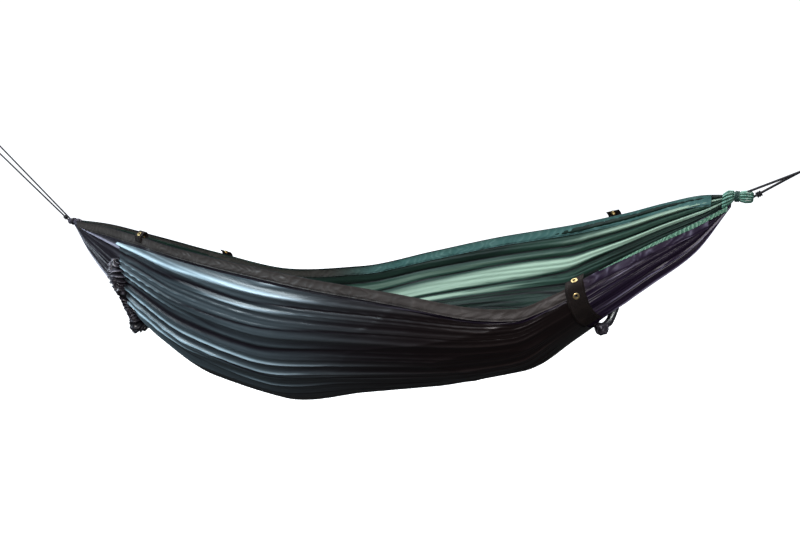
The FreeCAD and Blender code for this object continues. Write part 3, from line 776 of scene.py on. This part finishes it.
def mouthPiece(node, at, near, far, facing, seed, reachOut, second):
    stations, turns = ((420, 56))
    shares = np.linspace(shareAt(at, -1, near), shareAt(at, 1, far), stations)
    out = outward(at, shares)
    centre = skin(at, shares) + out * 0.0145
    ahead = np.gradient(centre, axis=0)
    ahead /= np.linalg.norm(ahead, axis=1, keepdims=True)
    level = np.cross(out, ahead) * facing
    angle = np.linspace(0, 2 * math.pi, turns, endpoint=False)
    run = np.linspace(0, 1, stations)[:, None] * np.ones(turns)
    turn = np.ones(stations)[:, None] * angle
    around = np.stack([np.cos(turn), np.sin(turn)], -1)
    lumps = noise(run * 15 + 3, around[..., 0] * 1.2 + 4, seed) * 0.5 + 0.5
    bend = 1.4 * noise(run * 20, around[..., 1] * 2 + 5, seed + 1)
    crumple = ridges(run * 44 + bend + 0.6 * around[..., 0], 1.2)
    small = noise(run * 100, around[..., 0] * 4 + around[..., 1] * 3 + 9, seed + 2) * 0.5 + 0.5
    flare = 0.5 + 0.5 * np.cos(turn - 0.7)
    bulk = 0.22 + 0.78 * np.exp(-((run - 0.09) / 0.085) ** 2) + second * np.exp(-((run - 0.43) / 0.06) ** 2)
    lumpy = reachOut * (0.35 + 0.65 * lumps) * (0.45 + 0.55 * crumple) + 0.005 * small
    size = 0.0088 + lumpy * flare * bulk
    size = size * (0.6 + 0.4 * smooth(0, 0.03, run))
    rings = (centre[:, None] + out[:, None] * (size * around[..., 0])[..., None]
             + level[:, None] * (size * around[..., 1])[..., None])
    # painted highlights on the crumples and lumps, and painted shade from about a third of the way round,
    # where the tube turns under the bed
    shade = np.clip(0.85 * crumple * (0.35 + 0.75 * lumps) + 0.35 * small - 0.1, 0, 1)
    shade = shade * (1 - 0.75 * smooth(0.30, 0.40, run))
    return place(tubeMesh(node + "_cloth", rings, shade, mouthCloth), node, "mouth_nylon")


headMouth = mouthPiece("head_sleeve_mouth", 0.412, 0.095, 0.095, 1, 201, 0.054, 1.0)
footMouth = mouthPiece("foot_sleeve_mouth", 2.082, 0.178, 0.178, -1, 231, 0.022, 0.0)
print("sleeve mouths")


# gathered ends
def endKnob(node, end, side, profile, pleats, cloth, slotName, seed):
    # profile: distance from the cord's bend into the bed, half width, half height, lift
    stations, turns = ((150, 150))
    table = np.array(profile)
    run = np.linspace(table[0, 0], table[-1, 0], stations)
    half = [np.interp(run, table[:, 0], table[:, i]) for i in (1, 2, 3)]
    angle = np.linspace(0, 2 * math.pi, turns, endpoint=False)
    along = run[:, None] * np.ones(turns)
    turn = np.ones(stations)[:, None] * angle
    wave = np.abs(np.sin(pleats * turn / 2 + 0.35 * noise(along * 24, np.cos(turn) * 2 + 4, seed)))
    rough = noise(along * 130, np.sin(turn) * 3 + np.cos(turn) * 2 + 7, seed + 1) * 0.5 + 0.5
    neck = np.exp(-((run - 0.0175) / 0.007) ** 2)[:, None]
    size = 0.95 - (0.20 * (1 - wave) + 0.05 * rough) * (1 - 0.85 * neck)
    rings = np.stack([end[0] + side * along + 0 * turn,
                      end[1] + half[0][:, None] * size * np.cos(turn),
                      end[2] + half[2][:, None] + half[1][:, None] * size * np.sin(turn)], -1)
    # painted highlights on the pleat crests and painted shade between them
    shade = np.clip(wave * 0.8 + 0.4 * rough - 0.25, 0, 1)
    return place(tubeMesh(node + "_cloth", rings, shade, cloth), node, slotName)


headKnob = endKnob("head_channel", headEnd, 1, (
    (-0.0145, 0.0045, 0.0060, 0.0), (-0.008, 0.0085, 0.0125, 0.0), (0.002, 0.0095, 0.0125, 0.0),
    (0.011, 0.0108, 0.0108, 0.0), (0.024, 0.0108, 0.0108, 0.0), (0.034, 0.0150, 0.0160, -0.002),
    (0.046, 0.0185, 0.0200, -0.006)), 12, headTipCloth, "channel_nylon", 301)
footKnob = endKnob("foot_channel", footEnd, -1, (
    (-0.0190, 0.0055, 0.0110, 0.0), (-0.015, 0.0095, 0.0150, 0.0), (-0.002, 0.0125, 0.0170, 0.0),
    (0.0085, 0.0125, 0.0150, 0.0), (0.0125, 0.0118, 0.0118, 0.0), (0.0245, 0.0118, 0.0118, 0.0),
    (0.028, 0.0150, 0.0170, -0.001), (0.040, 0.0170, 0.0220, -0.007), (0.050, 0.0150, 0.0200, -0.013)),
    12, footTipCloth, "foot_channel_nylon", 311)
print("gathered ends")


# suspension cords, from the gathered end round the carabiner's rod and back
cords = {"diameter": 0.006, "rodSeat": 0.009, "straight": 0.036, "easing": 0.004}


def cordPiece(node, anchor, pull, spread, bight, end, farSpread, bend):
    anchor, pull, spread = np.array(anchor), np.array(pull), np.array(spread)
    farSpread = np.array(farSpread)
    middle = anchor + pull * (bight - cords["rodSeat"])
    control = [end + farSpread * bend]
    control.append(middle + pull * cords["straight"] + spread * bight)
    control.append(middle + pull * cords["easing"] + spread * bight)
    control.append(middle - pull * bight + spread * bight)
    control.append(middle - pull * bight - spread * bight)
    control.append(middle + pull * cords["easing"] - spread * bight)
    control.append(middle + pull * cords["straight"] - spread * bight)
    control.append(end - farSpread * bend)
    curve = bpy.data.curves.new(node + "_line", "CURVE")
    curve.dimensions = "3D"
    curve.bevel_depth = cords["diameter"] / 2
    curve.bevel_resolution = 5
    curve.resolution_u = 24
    curve.use_fill_caps = True
    spline = curve.splines.new("NURBS")
    spline.points.add(len(control) - 1)
    for point, spot in zip(spline.points, control):
        point.co = (*spot, 1.0)
    spline.order_u = 3
    spline.use_endpoint_u = True
    curve.materials.append(cordBraid)
    thing = bpy.data.objects.new(node + "_line", curve)
    bpy.context.scene.collection.objects.link(thing)
    place(thing, node, "suspension_cord")


footAnchor = (3.045736, 0.0, -0.000066)
cordPiece("head_cord", (0, 0, 0), (0.826098, 0, -0.563526), (0.5635, 0, 0.8261), 0.016,
          headEnd, (0.5635, 0, 0.8261), 0.005)
cordPiece("foot_cord", footAnchor, (-0.862514, 0, -0.506034), (0, 1, 0), 0.0125,
          footEnd, (0.506, 0, -0.8625), 0.0095)
print("cords")


# stitches: short threads laid along a line
def buildStitches():
    group = bpy.data.node_groups.new("Stitches", "GeometryNodeTree")
    group.interface.new_socket("Geometry", in_out="INPUT", socket_type="NodeSocketGeometry")
    group.interface.new_socket("Geometry", in_out="OUTPUT", socket_type="NodeSocketGeometry")
    for label, kind, value in (
            ("Spacing", "NodeSocketFloat", 0.004), ("Length", "NodeSocketFloat", 0.0028),
            ("Thickness", "NodeSocketFloat", 0.0004), ("Thread", "NodeSocketMaterial", None)):
        socket = group.interface.new_socket(label, in_out="INPUT", socket_type=kind)
        if value:
            socket.default_value = value
    start = group.nodes.new("NodeGroupInput")
    end = group.nodes.new("NodeGroupOutput")
    line = put(group, "GeometryNodeMeshToCurve")
    split = put(group, "GeometryNodeResampleCurve", mode="LENGTH")
    along = put(group, "GeometryNodeInputTangent")
    turn = put(group, "FunctionNodeAlignEulerToVector", axis="Z")
    ball = put(group, "GeometryNodeMeshIcoSphere", in_Radius=1.0, in_Subdivisions=2)
    size = put(group, "ShaderNodeCombineXYZ")
    half = math2(group, "MULTIPLY", start.outputs["Length"], 0.5)
    spread = put(group, "GeometryNodeInstanceOnPoints")
    real = put(group, "GeometryNodeRealizeInstances")
    smoothed = put(group, "GeometryNodeSetShadeSmooth")
    finish = put(group, "GeometryNodeSetMaterial")
    join = group.links.new
    join(start.outputs["Geometry"], line.inputs["Mesh"])
    join(line.outputs[0], split.inputs["Curve"])
    join(start.outputs["Spacing"], split.inputs["Length"])
    join(along.outputs[0], turn.inputs["Vector"])
    join(start.outputs["Thickness"], size.inputs["X"])
    join(start.outputs["Thickness"], size.inputs["Y"])
    join(half, size.inputs["Z"])
    join(split.outputs[0], spread.inputs["Points"])
    join(ball.outputs[0], spread.inputs["Instance"])
    join(turn.outputs[0], spread.inputs["Rotation"])
    join(size.outputs[0], spread.inputs["Scale"])
    join(spread.outputs[0], real.inputs[0])
    join(real.outputs[0], smoothed.inputs[0])
    join(smoothed.outputs[0], finish.inputs["Geometry"])
    join(start.outputs["Thread"], finish.inputs["Material"])
    join(finish.outputs[0], end.inputs[0])
    return group


stitchGroup = buildStitches()


def stitches(name, lines, spacing, length, thickness, thread, slotName):
    points, edges = [], []
    for line in lines:
        first = len(points)
        points += [tuple(p) for p in line]
        edges += [(first + i, first + i + 1) for i in range(len(line) - 1)]
    mesh = bpy.data.meshes.new(name)
    mesh.from_pydata(points, edges, [])
    thing = bpy.data.objects.new(name, mesh)
    bpy.context.scene.collection.objects.link(thing)
    sewn = thing.modifiers.new("stitches", "NODES")
    sewn.node_group = stitchGroup
    settings = {"Spacing": spacing, "Length": length, "Thickness": thickness, "Thread": thread}
    for item in stitchGroup.interface.items_tree:
        if item.in_out == "INPUT" and item.name in settings:
            sewn[item.identifier] = settings[item.name]
    thing.update_tag()
    shape = bpy.data.meshes.new_from_object(thing.evaluated_get(bpy.context.evaluated_depsgraph_get()))
    thing.modifiers.clear()
    thing.data = shape
    return place(thing, None, slotName)


def seamLine(side, depth, start, end, out, count=700):
    xs = np.linspace(start, end, count)
    shares = np.array([shareAt(v, side, depth) for v in xs])
    return skin(xs, shares) + outward(xs, shares) * out


hemStitch = (0.0045, 0.0032, 0.00035)  # spacing, length and thickness of a thread
nearStitches = stitches("nearHemStitches", [seamLine(-1, 0.027, 0.08, 2.32, 0.0026),
                                            seamLine(-1, 0.0235, 0.08, 2.32, 0.0042)],
                        *hemStitch, threadBraid, "hem_nylon")
farStitches = stitches("farHemStitches", [seamLine(1, 0.027, 0.08, 2.32, -0.0112)],
                       *hemStitch, greenThread, "inner_hem_nylon")
sleeveStitches = stitches("sleeveStitches", [seamLine(-1, 0.0405, 0.43, 2.02, 0.0033),
                                             seamLine(1, 0.0405, 0.43, 2.02, 0.0033)],
                          *hemStitch, threadBraid, "sleeve_nylon")
strapLines = []
for node, (centre, normals) in strapNets.items():
    inset, far = 1, centre.shape[1] - 3
    for face in (0.0011, -0.0011):  # just proud of each face
        for j in (inset, centre.shape[0] - 1 - inset):
            strapLines.append(centre[j, 3:far] + normals[j, 3:far] * face)
        for i in (far - 1, far - 20):
            strapLines.append(centre[inset:-inset, i] + normals[inset:-inset, i] * face)
stitches("strapStitches", strapLines, 0.0038, 0.0028, 0.0004, threadBraid, "webbing")
print("stitches")

# metal and cord nodes, one of each at either end
finishes = {"eyelets": brassMetal, "washers": brassMetal, "carabiner": alloyMetal, "gate": gateMetal,
            "gate_pin": steelMetal, "gate_spring": steelMetal, "whipping": lineBraid,
            "cord_knot": cordBraid, "drawcord": lineBraid}
for end in ("head", "foot"):
    for piece, finish in finishes.items():
        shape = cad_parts[end + "_" + piece].data
        shape.materials.clear()
        shape.materials.append(greenThread if (end, piece) == ("foot", "whipping") else finish)
print("node finishes")


# camera, light and floor
def lamp(name, spot, target, size, power, colour, sizeY=None):
    data = bpy.data.lights.new(name, "AREA")
    data.energy = power
    data.color = colour
    data.size = size
    if sizeY:
        data.shape = "RECTANGLE"
        data.size_y = sizeY
    thing = bpy.data.objects.new(name, data)
    thing.location = spot
    thing.rotation_euler = (Vector(target) - Vector(spot)).to_track_quat("-Z", "Y").to_euler()
    bpy.context.scene.collection.objects.link(thing)


cameraData = bpy.data.cameras.new("view")
cameraData.sensor_width = 36.0
cameraData.lens = 36.0
camera = bpy.data.objects.new("view", cameraData)
camera.location = (3.0727, -2.096, 0.1769)
camera.rotation_euler = (math.radians(90 - 12.79), 0.0, math.radians(28.28))
bpy.context.scene.collection.objects.link(camera)
bpy.context.scene.camera = camera

lamp("leftSky", (-1.4, -2.4, 1.5), (0.9, -0.1, -0.5), 1.0, 120.0, (0.80, 0.93, 1.0), 2.2)
lamp("topSky", (1.6, 0.3, 2.6), (1.7, 0.0, -0.5), 1.6, 80.0, (1.0, 0.98, 0.95))
lamp("rearSky", (3.2, 2.2, 1.6), (2.2, 0.1, -0.2), 0.9, 40.0, (0.95, 1.0, 0.96))
lamp("frontFill", (3.6, -2.8, 1.0), (2.4, 0.0, -0.2), 0.8, 50.0, (1.0, 0.95, 0.95))


def skyWorld():
    # dark ground and pale sky, for the cloth to reflect
    world = bpy.data.worlds.new("studio")
    world.use_nodes = True
    tree = world.node_tree
    where = put(tree, "ShaderNodeTexCoord")
    split = put(tree, "ShaderNodeSeparateXYZ")
    tree.links.new(where.outputs["Generated"], split.inputs[0])
    height = put(tree, "ShaderNodeMapRange")
    height.interpolation_type = "SMOOTHSTEP"
    height.inputs["From Min"].default_value = 0.05
    height.inputs["From Max"].default_value = 0.75
    tree.links.new(split.outputs["Z"], height.inputs["Value"])
    sky = colourMix(tree, height.outputs[0], (0.05, 0.052, 0.055), (0.62, 0.70, 0.80))
    tree.links.new(sky, tree.nodes["Background"].inputs[0])
    tree.nodes["Background"].inputs[1].default_value = 0.6
    return world


bpy.context.scene.world = skyWorld()
bpy.context.scene.view_settings.view_transform = "Standard"


def backdrop():
    # pale floor that sweeps up into a far wall all round
    profile, sides = [(0.0, -1.35), (14.0, -1.35), (17.0, -0.6), (18.5, 2.0), (19.0, 12.0)], 64
    points, faces = [], []
    for radius, height in profile:
        for i in range(sides):
            turn = 2 * math.pi * i / sides
            points.append((1.7 + radius * math.cos(turn), radius * math.sin(turn), height))
    for k in range(len(profile) - 1):
        for i in range(sides):
            j = (i + 1) % sides
            faces.append((k * sides + i, k * sides + j, (k + 1) * sides + j, (k + 1) * sides + i))
    mesh = bpy.data.meshes.new("floor")
    mesh.from_pydata(points, [], faces)
    mesh.polygons.foreach_set("use_smooth", [True] * len(faces))
    thing = bpy.data.objects.new("floor", mesh)
    bpy.context.scene.collection.objects.link(thing)
    made, tree, shader = material("paleFloor")
    shader.inputs["Base Color"].default_value = (0.9, 0.9, 0.9, 1.0)
    shader.inputs["Roughness"].default_value = 0.9
    shader.inputs["Emission Color"].default_value = (1.0, 1.0, 1.0, 1.0)
    shader.inputs["Emission Strength"].default_value = 0.9
    mesh.materials.append(made)
    thing.visible_glossy = False
    thing.visible_diffuse = False
    return thing


backdrop()
print("camera and light")
